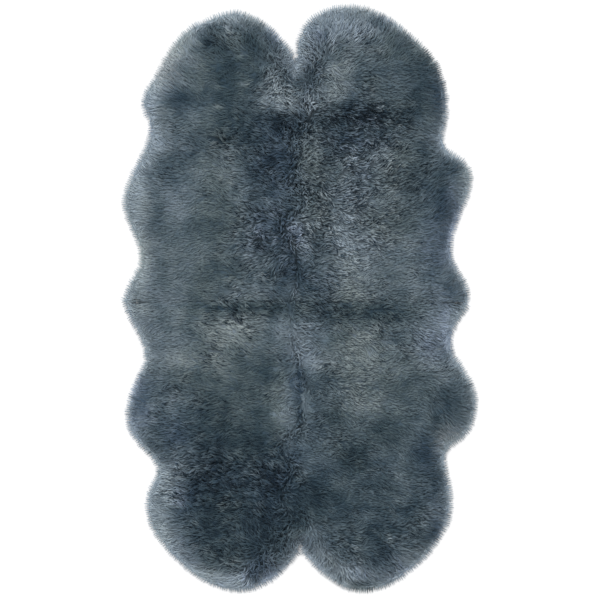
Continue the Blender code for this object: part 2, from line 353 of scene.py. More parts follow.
# Wool: its shades -----------------------------------------------------------------------
# One dye takes unevenly on natural wool. The shades below are partly that and partly
# painted light and shade: paler where the pile is brushed towards the light, darker in
# creases, folds, clefts and hollows. Each row is one area of the rug: its middle and its
# half sizes in millimetres, across and along from where the seams cross. Shade is from
# dark, about -1, to pale, about 1; relief is how much rougher or smoother the wool lies
# there; warmth goes from blue, below 0, to olive.
Area = namedtuple(
    "Area", "name across along wide long shade relief warmth", defaults=(0.0, 0.0)
)
AREAS = (
    Area("left crown", -245, 790, 80, 70, -0.1, 0.25, 0.6),
    Area("left crown middle", -230, 700, 90, 95, -0.55, -0.6, 1.4),
    Area("left crown, lower", -175, 680, 35, 45, 0.0, 0.1),
    Area("left crown, inner", -140, 810, 45, 50, -0.65, -0.2, 0.8),
    Area("left crown, by the notch", -60, 835, 35, 45, -0.35, 0.0, -0.8),
    Area("left crown top", -225, 890, 60, 20, 0.6, 0.1),
    Area("left crown rim", -430, 720, 55, 130, 0.9, -0.4, 0.1),
    Area("left crown rim, upper", -385, 795, 50, 45, 0.6, -0.4, 0.6),
    Area("left cheek rim", -475, 610, 35, 60, 0.9, -0.9, -0.8),
    Area("left cheek", -380, 625, 50, 40, -0.8, -0.25, -0.5),
    Area("left neck rim", -435, 490, 45, 45, 0.85, -0.4, -0.2),
    Area("tuft beside the notch", -72, 660, 45, 60, 0.6, 0.5, -0.1),
    Area("wool in the head notch", -3, 757, 40, 38, 0.5, 0.2, -0.4),
    Area("wool below the head notch", -10, 612, 90, 32, 0.7, 0.1, 0.1),
    Area("left shoulder shade", -70, 550, 90, 45, -0.9, 0.6, -0.6),
    Area("left back shade", -220, 550, 75, 45, -0.4, -0.1, 0.5),
    Area("left back shade, lower", -225, 500, 55, 35, -0.75, 0.6, 0.2),
    Area("left foreleg", -405, 410, 55, 55, -0.45, 0.0, -0.3),
    Area("left foreleg rim", -505, 330, 35, 90, 1.1, -0.9, -0.1),
    Area("left back", -265, 440, 65, 70, 0.4, -0.05, 0.3),
    Area("left flank", -370, 310, 60, 60, 0.55, -0.55),
    Area("left flank, outer", -430, 270, 30, 60, -0.4, -0.3),
    Area("left flank, lower", -320, 170, 80, 80, -0.2, -0.6),
    Area("left side of the back", -260, 280, 75, 190, -0.1, -0.08, 1.2),
    Area("left of the spine, outer", -125, 210, 45, 100, 0.1, 0.6, -0.5),
    Area("left of the spine", -60, 420, 75, 85, -0.7, 0.5, -1.2),
    Area("left of the spine, lower", -60, 240, 55, 60, -0.5, 0.2, -1.6),
    Area("left inner back", -200, 210, 70, 40, -0.1),
    Area("left inner back, lower", -225, 85, 60, 45, -0.35, -0.1, 0.4),
    Area("over the crossing", -20, 115, 70, 65, -0.5, 0.3, -1.0),
    Area("right of the crossing, upper", 70, 55, 45, 30, -0.55, 0.5),
    Area("left waist", -410, 90, 60, 130, 0.2, -0.75, 0.2),
    Area("left waist, inner", -310, 10, 50, 90, 0.0, -0.2, 1.1),
    Area("left waist rim", -495, 100, 28, 160, 0.75, -0.6, 0.6),
    # painted shade in the crease along the cross seam
    Area("left cross crease", -130, -18, 170, 22, -0.5, -0.2, 1.2),
    Area("right crown rim", 170, 870, 140, 50, 0.8, -0.5, -0.5),
    Area("right crown, by the notch", 50, 830, 40, 60, 0.35, -0.1, -0.5),
    Area("right crown, brushed", 212, 825, 35, 25, 0.4, 0.8),
    Area("right crown, upper middle", 235, 765, 45, 40, 0.45, 0.2),
    Area("right crown, outer", 320, 790, 85, 70, -0.3, -0.2, 0.8),
    Area("right crown rim, outer", 350, 845, 60, 45, -0.5, 0.0, -0.4),
    Area("right of the notch", 55, 710, 40, 50, -0.5, 0.1, -0.2),
    Area("right crown tuft", 130, 710, 45, 65, 0.55, -0.15, 0.5),
    Area("right crown tuft, lower", 125, 640, 50, 35, 0.45, -0.2, 0.4),
    Area("right crown middle", 230, 690, 60, 60, -0.35, -0.1, 0.4),
    Area("right cheek", 400, 620, 60, 100, -0.5, -0.2, 0.6),
    Area("right cheek rim", 460, 625, 25, 95, -0.8, 0.0, -0.8),
    Area("right shoulder shade", 195, 578, 135, 40, -0.85, 1.1, -0.5),
    Area("right back, upper", 220, 495, 120, 35, -0.25, 0.4, -0.8),
    Area("right of the spine", 47, 475, 50, 65, 0.4, 0.3, 0.5),
    Area("right of the spine, lower", 65, 330, 40, 130, -0.1, 0.7, 0.7),
    Area("pale beside the spine", 12, 215, 32, 45, 0.9, 0.4, -0.8),
    Area("right tuft shade", 115, 455, 35, 35, -0.5, 0.4),
    Area("right tuft light", 165, 390, 32, 50, 0.45, 0.4, -0.3),
    Area("right foreleg shade", 405, 400, 85, 70, -0.4, 0.0, -0.1),
    Area("right foreleg", 455, 345, 45, 60, -0.65, -0.15, 0.2),
    Area("right foreleg rim", 492, 350, 24, 60, 0.6, -0.4, -1.0),
    Area("right back", 250, 430, 70, 75, 0.3, 0.4, -0.6),
    Area("right back, outer", 340, 470, 45, 45, 0.25, 0.0, 1.2),
    Area("right back, middle", 185, 300, 50, 40, 0.4, 0.8, -0.2),
    Area("right side of the back", 300, 300, 70, 190, -0.05, 0.1, 0.9),
    Area("right back, hollow", 95, 225, 40, 40, -0.05, 0.3, -0.2),
    Area("right flank", 225, 190, 115, 110, 0.4, 0.15, -0.3),
    Area("right flank light", 170, 120, 55, 70, 0.7, -0.1, 0.2),
    Area("right flank, lower", 330, 60, 45, 60, 0.0, -0.2, 0.2),
    Area("right flank, foot", 180, 20, 50, 40, 0.25, 0.0, 0.9),
    Area("right waist, lower rim", 488, 35, 30, 40, -0.6, 0.0, -0.4),
    Area("right waist", 440, 150, 60, 110, -0.1, -0.4, -0.9),
    Area("right waist rim", 480, 260, 35, 60, -0.4, -0.2, -3.0),
    Area("right waist shade", 430, 85, 35, 60, -0.2, -0.4),
    Area("right neck rim", 450, 520, 40, 60, 0.3, -0.3),
    # painted shade in the crease along the cross seam
    Area("right cross crease", 245, -34, 120, 35, -0.75, 0.2, 1.5),
    Area("beside the crossing", 60, -10, 80, 50, -0.1, 0.6, -0.1),
    Area("left loin", -220, -97, 80, 45, 0.9, 0.0, 1.1),
    Area("left loin side", -377, -184, 60, 40, 0.75, -0.35, 0.6),
    Area("left loin, inner", -185, -50, 40, 40, 0.25, 0.4),
    Area("left loin, outer", -315, -60, 45, 45, -0.05, -0.35),
    Area("left loin rim", -440, -110, 50, 45, 0.15, -0.5),
    Area("left haunch", -240, -230, 110, 140, -0.35, -0.1, 1.5),
    Area("left haunch, upper", -255, -185, 45, 40, 0.55, 0.6),
    Area("under the crossing", -5, -105, 60, 55, 0.5, -0.1, -0.3),
    Area("under the crossing, lower", 40, -178, 45, 40, 0.6, -0.4, -0.5),
    Area("seam of the loins", -25, -270, 35, 120, -0.2, -0.2, -0.9),
    Area("between the haunches", 10, -475, 60, 50, -0.1, -0.5, -0.5),
    Area("left of the loin seam", -95, -220, 45, 50, -0.6, -0.2, 1.0),
    Area("right loin", 200, -140, 80, 80, 0.4, 0.0, 0.7),
    Area("right loin, inner", 105, -130, 45, 40, -0.45, -0.45),
    Area("right thigh shade", 105, -250, 40, 40, -0.45, 0.1),
    Area("right haunch", 220, -230, 120, 160, 0.12, -0.05, 0.8),
    Area("right thigh", 215, -315, 50, 45, 0.75, -0.15, 0.3),
    Area("right thigh, inner", 115, -360, 40, 35, -0.5, 0.0, 0.6),
    Area("right loin side", 420, -95, 65, 75, 0.45, -0.2, -0.8),
    Area("right haunch rim", 450, -180, 45, 40, 0.4, -0.2, -0.3),
    Area("right loin rim", 480, -60, 28, 80, 0.8, -0.3, -0.8),
    Area("right haunch side", 330, -200, 110, 30, 0.15, -0.2, 0.3),
    Area("right haunch side, lower", 360, -280, 60, 50, -0.25, -0.5, 0.9),
    Area("right haunch shade", 300, -400, 80, 60, -0.55, -0.4, 0.9),
    Area("left thigh", -65, -300, 45, 70, 0.45, -0.1, 0.7),
    Area("left thigh, outer", -110, -350, 50, 60, -0.2, 0.0, 2.0),
    Area("left hind leg", -395, -400, 60, 60, -0.2, -0.1, -1.0),
    Area("left hind leg rim", -500, -320, 35, 110, -0.1, -0.4, -1.1),
    Area("left haunch shade", -250, -385, 75, 60, -0.65, -0.25, 0.7),
    Area("left haunch shade, inner", -140, -430, 70, 60, -0.75, -0.2, 1.5),
    Area("left rump", -265, -525, 85, 75, -1.3, 0.9, -0.6),
    Area("left rump, inner", -85, -545, 75, 80, -1.1, 0.6, -0.8),
    Area("left tail", -110, -700, 75, 75, -0.95),
    Area("left tail, outer", -250, -680, 90, 110, -0.75, 0.1, 1.0),
    Area("left tail, lower", -265, -775, 55, 30, -0.6, 0.3, 0.5),
    Area("left tail side", -350, -620, 45, 80, -0.2, 0.3, -0.8),
    Area("left rump rim", -440, -600, 42, 110, 0.4, 0.0, 0.1),
    Area("left rump rim, upper", -395, -530, 45, 35, 0.75, 0.2),
    Area("left rump folds", -385, -590, 45, 30, 0.7, 0.6, -0.2),
    Area("left tail rim", -350, -765, 60, 60, 0.45, 0.1, -0.3),
    Area("left tail rim, outer", -430, -730, 35, 80, 1.2, -0.3),
    Area("left tail tip", -230, -870, 90, 36, 1.6, 0.1, -0.3),
    Area("left tail tip, inner", -110, -835, 60, 50, -0.3, 0.3, -1.6),
    Area("seam of the tails", -30, -680, 45, 130, -0.2, 0.1, -0.2),
    Area("right of the tail seam", 70, -600, 60, 60, -1.1, 0.0, 0.4),
    Area("between the tails", 0, -680, 50, 50, -0.4, 0.0, 0.9),
    Area("right hind leg", 480, -315, 60, 85, -0.55, -0.4, 0.3),
    Area("right hind leg rim", 470, -430, 35, 40, 0.9, -0.4, 0.5),
    Area("right rump", 187, -486, 50, 55, -0.7, 0.2, 1.2),
    Area("right rump, upper", 140, -425, 40, 45, 0.0, 0.4, 0.3),
    Area("right rump, outer", 405, -475, 55, 60, -0.55, -0.2, -0.8),
    Area("right tail side", 380, -650, 40, 50, -0.3, 0.5),
    Area("right tail side, rim", 450, -690, 30, 90, -0.1, -0.2, -0.9),
    Area("right tail, whole", 260, -600, 150, 150, -0.25, -0.25, 0.2),
    Area("right tail", 230, -725, 110, 60, -0.35, 0.1, 0.2),
    Area("right tail rim, inner", 75, -790, 40, 30, 0.5, 0.2),
    Area("right tail rim", 195, -850, 130, 35, 1.05, 0.2, -0.2),
    Area("right tail rim, edge", 210, -895, 70, 16, -1.0, 0.0, 0.5),
    Area("right tail rim, outer", 350, -850, 60, 30, -0.1, 0.0, -0.5),
    Area("wool in the tail notch", 20, -750, 45, 40, 0.25, -0.2, -0.4),
    Area("pale tuft by the crossing", -7, 30, 8, 12, 1.2, 0.2),
    # The rows from here to the next remark stand for no form of the rug, apart from the two
    # cross folds. They even out patches where the wool was still paler or darker than in
    # the photograph, and were placed from a list of those patches.
    Area("right thigh, lower", 158, -358, 30, 30, -0.35),
    Area("right hind leg, foot", 430, -420, 30, 30, -0.35),
    Area("right flank, outer", 305, 59, 28, 30, -0.35),
    Area("right foreleg, under", 358, 330, 30, 30, -0.35),
    Area("between the rumps", 56, -464, 30, 30, -0.35),
    Area("right back, top", 302, 423, 30, 30, 0.35),
    Area("left hind leg rim, lower", -495, -389, 28, 34, 0.35),
    Area("right crown rim, inner", 46, 866, 26, 26, -0.4),
    Area("left rump rim, top", -461, -461, 30, 28, -0.4),
    Area("left tail rim, upper", -399, -679, 30, 30, -0.4),
    Area("left hind leg, inner", -352, -333, 30, 28, -0.4),
    Area("tuft beside the notch, outer", -143, 685, 22, 30, -0.45),
    Area("right hind leg top", 470, -233, 30, 28, 0.4),
    Area("left tail side, upper", -383, -604, 30, 22, 0.4),
    Area("right tail rim, side", 353, -800, 34, 28, 0.4),
    Area("right shoulder, by the spine", 56, 545, 28, 28, -0.4),
    Area("left crown top, outer", -255, 874, 30, 18, -0.45),
    Area("spine, upper", 28, 423, 26, 34, 0.3),
    Area("spine, middle", 20, 171, 34, 28, 0.35),
    Area("right of the notch, edge", 31, 798, 22, 34, 0.35),
    Area("left tail, inner rim", -75, -798, 34, 28, 0.4),
    Area("right waist foot", 230, 12, 34, 26, 0.35),
    Area("right neck edge", 505, 428, 26, 30, -0.6),
    Area("right loin patch", 212, -122, 36, 30, 0.3, 0.1, 0.3),
    # painted shade in the two cross folds
    Area("right cross fold", 150, -12, 120, 7, -0.4),
    Area("left cross fold", -200, -16, 85, 9, -0.6),
    Area("left crown rim, inner", -62, 820, 28, 28, -0.4),
    Area("right crown rim, side", 426, 745, 30, 40, -0.45),
    Area("left back, middle", -230, 324, 34, 34, -0.35),
    Area("left crown rim, top", -327, 835, 28, 30, 0.4),
    Area("left foreleg rim, upper", -480, 439, 30, 36, 0.4),
    Area("right waist tip", 445, 12, 30, 26, 0.35),
    Area("right shoulder, outer", 314, 606, 40, 22, 0.35),
    Area("right shoulder, upper", 134, 584, 55, 22, 0.4),
    Area("left waist, by the crease", -205, 15, 34, 26, 0.4),
    Area("right rump rim", 462, -540, 26, 34, -0.55),
    Area("left cheek, outer", -420, 617, 30, 30, -0.4),
    Area("right loin, middle", 236, -155, 40, 22, -0.3),
    Area("right tail rim, far side", 445, -725, 30, 30, -0.5),
    Area("left haunch, lower", -193, -385, 36, 60, 0.4),
    Area("right thigh, upper", 81, -171, 35, 28, 0.4),
    Area("right crown, inner", 109, 757, 32, 35, -0.4),
    Area("left rump middle", -270, -617, 60, 28, -0.4),
    Area("right foreleg, inner", 436, 385, 30, 40, 0.4),
    Area("left shoulder, outer", -314, 470, 30, 30, -0.4),
    Area("right tail, outer side", 286, -765, 40, 30, -0.4),
    Area("right tail side, lower", 440, -635, 32, 35, 0.5),
    Area("right loin rim, lower", 470, -150, 26, 30, -0.5),
    Area("right waist, inner", 370, 50, 30, 65, 0.45),
    Area("right foreleg edge", 535, 380, 24, 50, 0.6),
    Area("left of the notch", -22, 680, 24, 40, -0.5),
    Area("right loin, outer", 314, -127, 42, 30, -0.45),
    Area("left tail tip, inner side", -125, -880, 28, 26, -0.6),
    Area("left rump top", -324, -486, 40, 24, 0.5),
    Area("right thigh, middle", 230, -280, 40, 26, -0.5),
    Area("right tail rim, inner side", 122, -870, 30, 24, -0.6),
    Area("right tail rim, outer side", 276, -862, 30, 22, -0.5),
    Area("right tail, above the rim", 235, -822, 45, 32, -0.7),
    Area("right crown top, outer", 262, 880, 35, 26, -0.75),
    # Single folds, curls and clefts of the wool; the dark rows here are painted shade.
    Area("left rump fold", -395, -595, 55, 7, -0.8, 0.3),
    Area("left tail fold", -230, -640, 80, 8, -0.4, 0.1),
    Area("right tail fold", 250, -640, 90, 9, -0.45, 0.2),
    Area("right tail curls, outer", 296, -726, 12, 10, 0.6, 0.3),
    Area("right tail curls, lower", 204, -807, 7, 14, 0.9, 0.2),
    Area("right tail curls", 195, -760, 14, 9, 0.9, 0.3),
    Area("left tail curls", -203, -800, 26, 14, 0.5, 0.3),
    Area("left tail cleft", -140, -850, 16, 20, -0.7),
    Area("left tail curl", -318, -678, 10, 12, 0.6, 0.2),
    Area("left tail wisps", -308, -624, 24, 6, 0.8, 0.1),
    Area("right crown pale tuft", 115, 715, 18, 20, 0.5),
    Area("right crown cleft, outer", 226, 812, 16, 14, -0.6, 0.2),
    Area("right crown cleft", 88, 832, 9, 18, -0.7),
    Area("right crown flame, outer", 196, 823, 9, 22, 0.8, 0.1),
    Area("right crown flame", 115, 817, 9, 24, 0.8, 0.1),
    Area("left crown hollow", -287, 811, 20, 25, -0.7),
    Area("left crown curl, last", -253, 605, 14, 8, 0.6, 0.2),
    Area("left crown curl, outer", -253, 667, 14, 8, 0.6, 0.2),
    Area("left crown curl, lower", -171, 673, 22, 8, 0.8, 0.3),
    Area("left crown curl, middle", -178, 761, 13, 9, 0.7, 0.2),
    Area("left crown curl", -221, 848, 11, 16, 0.9, 0.3),
    Area("lengthwise crease", 2, -290, 6, 120, -0.7, 0.0, -0.6),
)
BROWNED = (                      # wool browned by light: across, along, wide, long
    (465, -410, 50, 50),
    (-425, 745, 60, 80),
)
BASE_RELIEF = 0.36               # where no area changes it
RELIEF_LIMIT = 1.4
AREA_SHADE = 1.6                 # of a lock's shade, for one unit of an area's
Cloud = namedtuple("Cloud", "width amount layer")
SHADE_CLOUDS = (                 # the shade also drifts in soft clouds
    Cloud(95 * MM, 0.30, 10),
    Cloud(42 * MM, 0.25, 11),
    Cloud(20 * MM, 0.25, 12),
)
RELIEF_CLOUDS = (                # and so does the relief
    Cloud(110 * MM, 0.25, 2),
    Cloud(32 * MM, 0.3, 9),
)
LAYER_GAP = 7.3                  # between the patterns of two layers
CLOUD_GAIN = 1.6                 # makes a pattern reach about 1 either way
SHADE_LIMIT = 1.25               # areas and clouds make it no darker or paler than this
RIM_PAINTED_LIGHT = 2.25                 # wool at the rim is thinner, and painted paler for light through it
RIM_PAINTED_LIGHT_WIDTH = 33 * MM
RimPatch = namedtuple(
    "RimPatch", "across along wide long paler longer turned", defaults=(0,)
)
RIM_PATCHES = (                  # painted light paler or darker, millimetres longer, degrees turned
    RimPatch(-343, 839, 80, 65, 0.2, 2.5, -50),
    RimPatch(-3, 784, 13, 20, -0.3, -8.0),
    RimPatch(-440, 680, 50, 100, 0.0, 0.5, -25),
    RimPatch(-515, 370, 60, 110, 0.25, 2.5, -10),
    RimPatch(-500, 150, 50, 90, 0.2, -2.0),
    RimPatch(-487, -150, 60, 80, 0.3, -5.0),
    RimPatch(-524, -330, 60, 70, -0.3, 2.0, 10),
    RimPatch(-452, -560, 60, 90, -0.1, -2.0),
    RimPatch(-360, -800, 70, 60, 0.0, -2.5, -30),
    RimPatch(-215, -880, 80, 55, 0.0, -4.0, -80),
    RimPatch(20, -840, 120, 60, -0.5, -3.0),
    RimPatch(190, -880, 90, 50, -0.4, -0.5, 60),
    RimPatch(350, -840, 80, 60, -0.1, -2.0),
    RimPatch(460, -640, 60, 110, -0.1, 4.0),
    RimPatch(440, -730, 60, 60, -0.5, 0.0),
    RimPatch(550, -330, 50, 90, -0.6, -1.0),
    RimPatch(490, 118, 50, 60, -0.1, -4.5),
    RimPatch(520, 45, 50, 50, -0.7, 1.0),
    RimPatch(510, 330, 60, 90, -0.15, 0.0),
    RimPatch(410, 750, 90, 110, -1.3, 0.0, 15),
    RimPatch(240, 900, 70, 50, -0.5, 1.5),
)


def drift(places, width, layer):
    """Soft noise between about -1 and 1 over the rug; each layer is another pattern."""
    points = np.column_stack((places / width, np.full(len(places), layer * LAYER_GAP)))
    return np.array([noise.noise(Vector(point)) for point in points]) * CLOUD_GAIN


def clouded(places, cloud):
    """What one layer of soft noise adds at each place."""
    return cloud.amount * drift(places, cloud.width, cloud.layer)


def area_sum(places, quality, areas=AREAS):
    """What areas of the rug add up to at each place."""
    total = np.zeros(len(places))
    from_crossing = (places - CROSSING) / MM
    for area in areas:
        across = (from_crossing[:, 0] - area.across) / area.wide
        along = (from_crossing[:, 1] - area.along) / area.long
        total += getattr(area, quality) * np.exp(-(across ** 2) - along ** 2)
    return total


def base_shade(places, depth):
    """How pale the wool is at each place, before each tuft and lock differs."""
    shade = AREA_SHADE * area_sum(places, "shade")
    for cloud in SHADE_CLOUDS:
        shade += clouded(places, cloud)
    shade = SHADE_LIMIT * np.tanh(shade / SHADE_LIMIT)
    # painted light: the rim's wool is painted paler
    rim_painted_light = RIM_PAINTED_LIGHT + area_sum(places, "paler", RIM_PATCHES)
    return shade + rim_painted_light * np.exp(-((depth / RIM_PAINTED_LIGHT_WIDTH) ** 2))


def relief_of(places):
    """How rough the wool lies: 0 is brushed smooth, 1 is all separate tufts."""
    relief = BASE_RELIEF + area_sum(places, "relief")
    for cloud in RELIEF_CLOUDS:
        relief += clouded(places, cloud)
    return np.clip(relief, 0.0, RELIEF_LIMIT)


# Wool: the fibres' colour ---------------------------------------------------------------
# Dyed wool, dark at the root where little light comes, paler and a little silvery at
# the tip. Every lock lies on the palette map OFBake: across it runs the shade, and up
# it run the tints of the dye from blue to olive and a browned one, each root to tip.
TINTS = (
    ("navy", (0.87, 0.87, 0.97)),
    ("blue", (0.888, 0.89, 0.938)),
    ("slate", (0.910, 0.901, 0.906)),
    ("grey", (0.929, 0.907, 0.874)),
    ("olive", (0.943, 0.908, 0.844)),
    ("moss", (0.952, 0.909, 0.814)),
    ("umber", (1.0, 0.915, 0.86)),
)
UMBER = len(TINTS) - 1
TINT_MARGIN = 0.04               # kept clear at both ends of each tint's band
LOCK_MAP_WIDTH = 0.014
SHADE_SPREAD = 0.32              # of the map, for one unit of shade


def palette_across(shade):
    """Where a shade is on the palette map."""
    return np.clip(0.5 + SHADE_SPREAD * shade, LOCK_MAP_WIDTH, 1 - LOCK_MAP_WIDTH)


def palette_up(tint, growth):
    """Where a tint is on the palette map, from the root at 0 to the tip at 1."""
    return (tint + TINT_MARGIN + (1 - 2 * TINT_MARGIN) * growth) / len(TINTS)


def wool_material():
    """Dyed wool, read from the palette map, with fine fibres along every lock."""
    material, shader, add, join = node_material("dyed wool")
    shader.inputs["Roughness"].default_value = 0.78
    shader.inputs["Specular IOR Level"].default_value = 0.08
    shader.inputs["Specular Tint"].default_value = (0.55, 0.80, 1.0, 1.0)
    shader.inputs["Sheen Weight"].default_value = 0.12
    shader.inputs["Sheen Roughness"].default_value = 0.5
    shader.inputs["Sheen Tint"].default_value = (0.62, 0.82, 1.0, 1.0)
    palette = add("ShaderNodeUVMap", uv_map="OFBake").outputs["UV"]
    part = add("ShaderNodeSeparateXYZ", {"Vector": palette})
    bands = add("ShaderNodeMath", {0: part.outputs["Y"], 1: len(TINTS)}, operation="MULTIPLY")
    band = add("ShaderNodeMath", {0: bands.outputs[0]}, operation="FLOOR")
    growth = add("ShaderNodeMath", {0: bands.outputs[0]}, operation="FRACT")
    tint_place = add(
        "ShaderNodeMath", {0: band.outputs[0], 1: len(TINTS) - 1}, operation="DIVIDE"
    )
    shades = set_ramp(add("ShaderNodeValToRGB", {"Fac": part.outputs["X"]}), (
        (0.00, (0.002, 0.009, 0.018)),
        (0.12, (0.016, 0.033, 0.053)),
        (0.25, (0.052, 0.089, 0.121)),
        (0.50, (0.150, 0.208, 0.249)),
        (0.75, (0.268, 0.337, 0.391)),
        (1.00, (0.550, 0.663, 0.746)),
    ))
    growths = set_ramp(add("ShaderNodeValToRGB", {"Fac": growth.outputs[0]}), (
        (0.05, (0.24, 0.24, 0.24)),
        (0.40, (0.68, 0.68, 0.68)),
        (0.70, (0.94, 0.94, 0.94)),
        (0.96, (1.0, 1.0, 1.0)),
    ))
    tints = add("ShaderNodeValToRGB", {"Fac": tint_place.outputs[0]})
    stops = [(number / (len(TINTS) - 1), tint) for number, (_name, tint) in enumerate(TINTS)]
    tints = set_ramp(tints, stops)
    spread = add("ShaderNodeMapping", {"Vector": palette, "Scale": (190.0, 14.0, 1.0)})
    fibres = add("ShaderNodeTexNoise", {
        "Vector": spread.outputs[0], "Scale": 1.0, "Detail": 3.0, "Roughness": 0.6,
    })
    streaks = set_ramp(add("ShaderNodeValToRGB", {"Fac": fibres.outputs["Fac"]}), (
        (0.32, (0.85, 0.85, 0.85)),
        (0.68, (1.0, 1.0, 1.0)),
    ))
    colour = shades
    for layer in (growths, tints, streaks):
        mixed = add("ShaderNodeMix", data_type="RGBA", blend_type="MULTIPLY")
        mixed.inputs["Factor"].default_value = 1.0
        material.node_tree.links.new(colour, mixed.inputs["A"])
        material.node_tree.links.new(layer, mixed.inputs["B"])
        colour = mixed.outputs["Result"]
    join(colour, "Base Color")
    raised = add("ShaderNodeBump", {
        "Height": fibres.outputs["Fac"], "Strength": 0.35, "Distance": 0.0005,
    })
    join(raised.outputs["Normal"], "Normal")
    return material


# Wool: the locks ------------------------------------------------------------------------
# Each lock is a bundle of fibres that leaves the hide upright, leans over the way the
# pelt was combed and draws together with its neighbours into a tuft. Staples are the
# thick locks that give the pile its body, and wisps the thin ones over them.
LockKind = namedtuple("LockKind", "spacing half_width reach cuts strand_share")
STAPLE = LockKind(11 * MM, 4.4 * MM, reach=27 * MM, cuts=(0.45, 0.78), strand_share=0.05)
WISP = LockKind(6.2 * MM, 2.2 * MM, reach=26 * MM, cuts=(0.6,), strand_share=0.24)
LOCK_FLATNESS = 0.65             # a lock's height for its width
LOCK_TAPER = 2.0
BASE_SLANT = 0.05                # a lock's lower end is cut on a slant
SCATTER = 0.42                   # how far locks stray from even rows, in spacings
ROOT_MARGIN = 4 * MM             # no lock grows nearer the rim than this
ROOT_DEPTH = 25 * MM
ROOT_PALENESS = 0.85             # of a lock's growth of colour, where the wool lies smooth
ROOT_LEAST = 0.35                # of the wool's height, where that is more than this
TUFT_SPACING = 25 * MM
TUFT_TURN = 0.32
TUFT_RISE = (-0.5 * MM, 3.0 * MM)  # the mean and the spread
TUFT_SHADE = 0.25
TUFT_POINT = 1.15                # a tuft's point from its middle, in reaches of a lock
VARIES = (0.75, 1.25)            # a lock's length and width, times this
CLEAR_LENGTH = (0.6, 0.4)        # its length, times this: the second for a clear lie
# Each pair down to GATHER is for smooth wool, and what a relief of 1 adds to it.
LOCK_TURN = (0.12, 0.15)
LOCK_LENGTH = (1.2, -0.35)
LOCK_WIDTH = (0.8, 0.3)
LOCK_RIDGE = (0.2, 0.8)
LOCK_SHADE = (0.06, 0.18)
GATHER = (0.05, 0.25)            # how far a lock's tip draws in to its tuft's point
GATHER_VARIES = (0.6, 1.2)       # and that, times this
LOCK_CURL = 1.2 * MM
LOCK_RISE = 1.6 * MM
CLEFT_SHADE = 0.7                # locks between two tufts are in their shade
CLEFT_START = 0.35               # from this far off a tuft's middle, in tuft spacings
RAISED_SHADE = 0.55              # and raised tufts catch more light
RAISED_RELIEF = 0.3              # where the relief is more than this
# Strands are thin locks laid over the wool, free at both ends, and painted dark: painted
# shadow that stands in for the shade in the clefts, which they look like from above.
SHADOW_STRAND_SHADE = 1.8
STRAND_LIFT = 3.5 * MM           # they lie this far over the other locks,
STRAND_ROOT_DROP = 4 * MM        # and start this far under their own bend
STRAND_REACH = 0.6               # of a lock's length
STRAND_THINNESS = 0.3
STRAND_MARGIN = 40 * MM          # none lies this near the rim
EDGE_WIDTH = 60 * MM             # towards the rim the locks rise less over the wool
EDGE_LEAST = 0.15
LEANING_RISE = 1.5 * MM
BEND_SHARE = 0.3                 # where a lock bends, from its root
BEND_LEAST = 2 * MM
MIDDLE_SHARE = 0.4               # where the wool under a lying lock is read
MIDDLE_RISE = 1 * MM
SMOOTH_FLATNESS = 0.6            # how far smooth wool lies instead of leaning
LYING_RISE = 14 * MM
WHORL_TURN = 2.5                 # where the wool has no clear lie, it turns every way
PARTING = Cloud(110 * MM, 60 * MM, 8)  # how its parting wanders about the long seam
PARTING_WIDTH = 22 * MM
LIE_SLANT = 4                    # degrees that the lie falls to the right, all over
LIE_CLOUD = Cloud(42 * MM, 0.45, 4)
TANGLE_TURN = 1.2                # radians, where it is tangled
TANGLE_WIDTH = 33 * MM
TANGLE_LAYER = 12
LEAST_STRENGTH = 0.05
Lie = namedtuple("Lie", "across along wide long slant tangle", defaults=(0.0,))
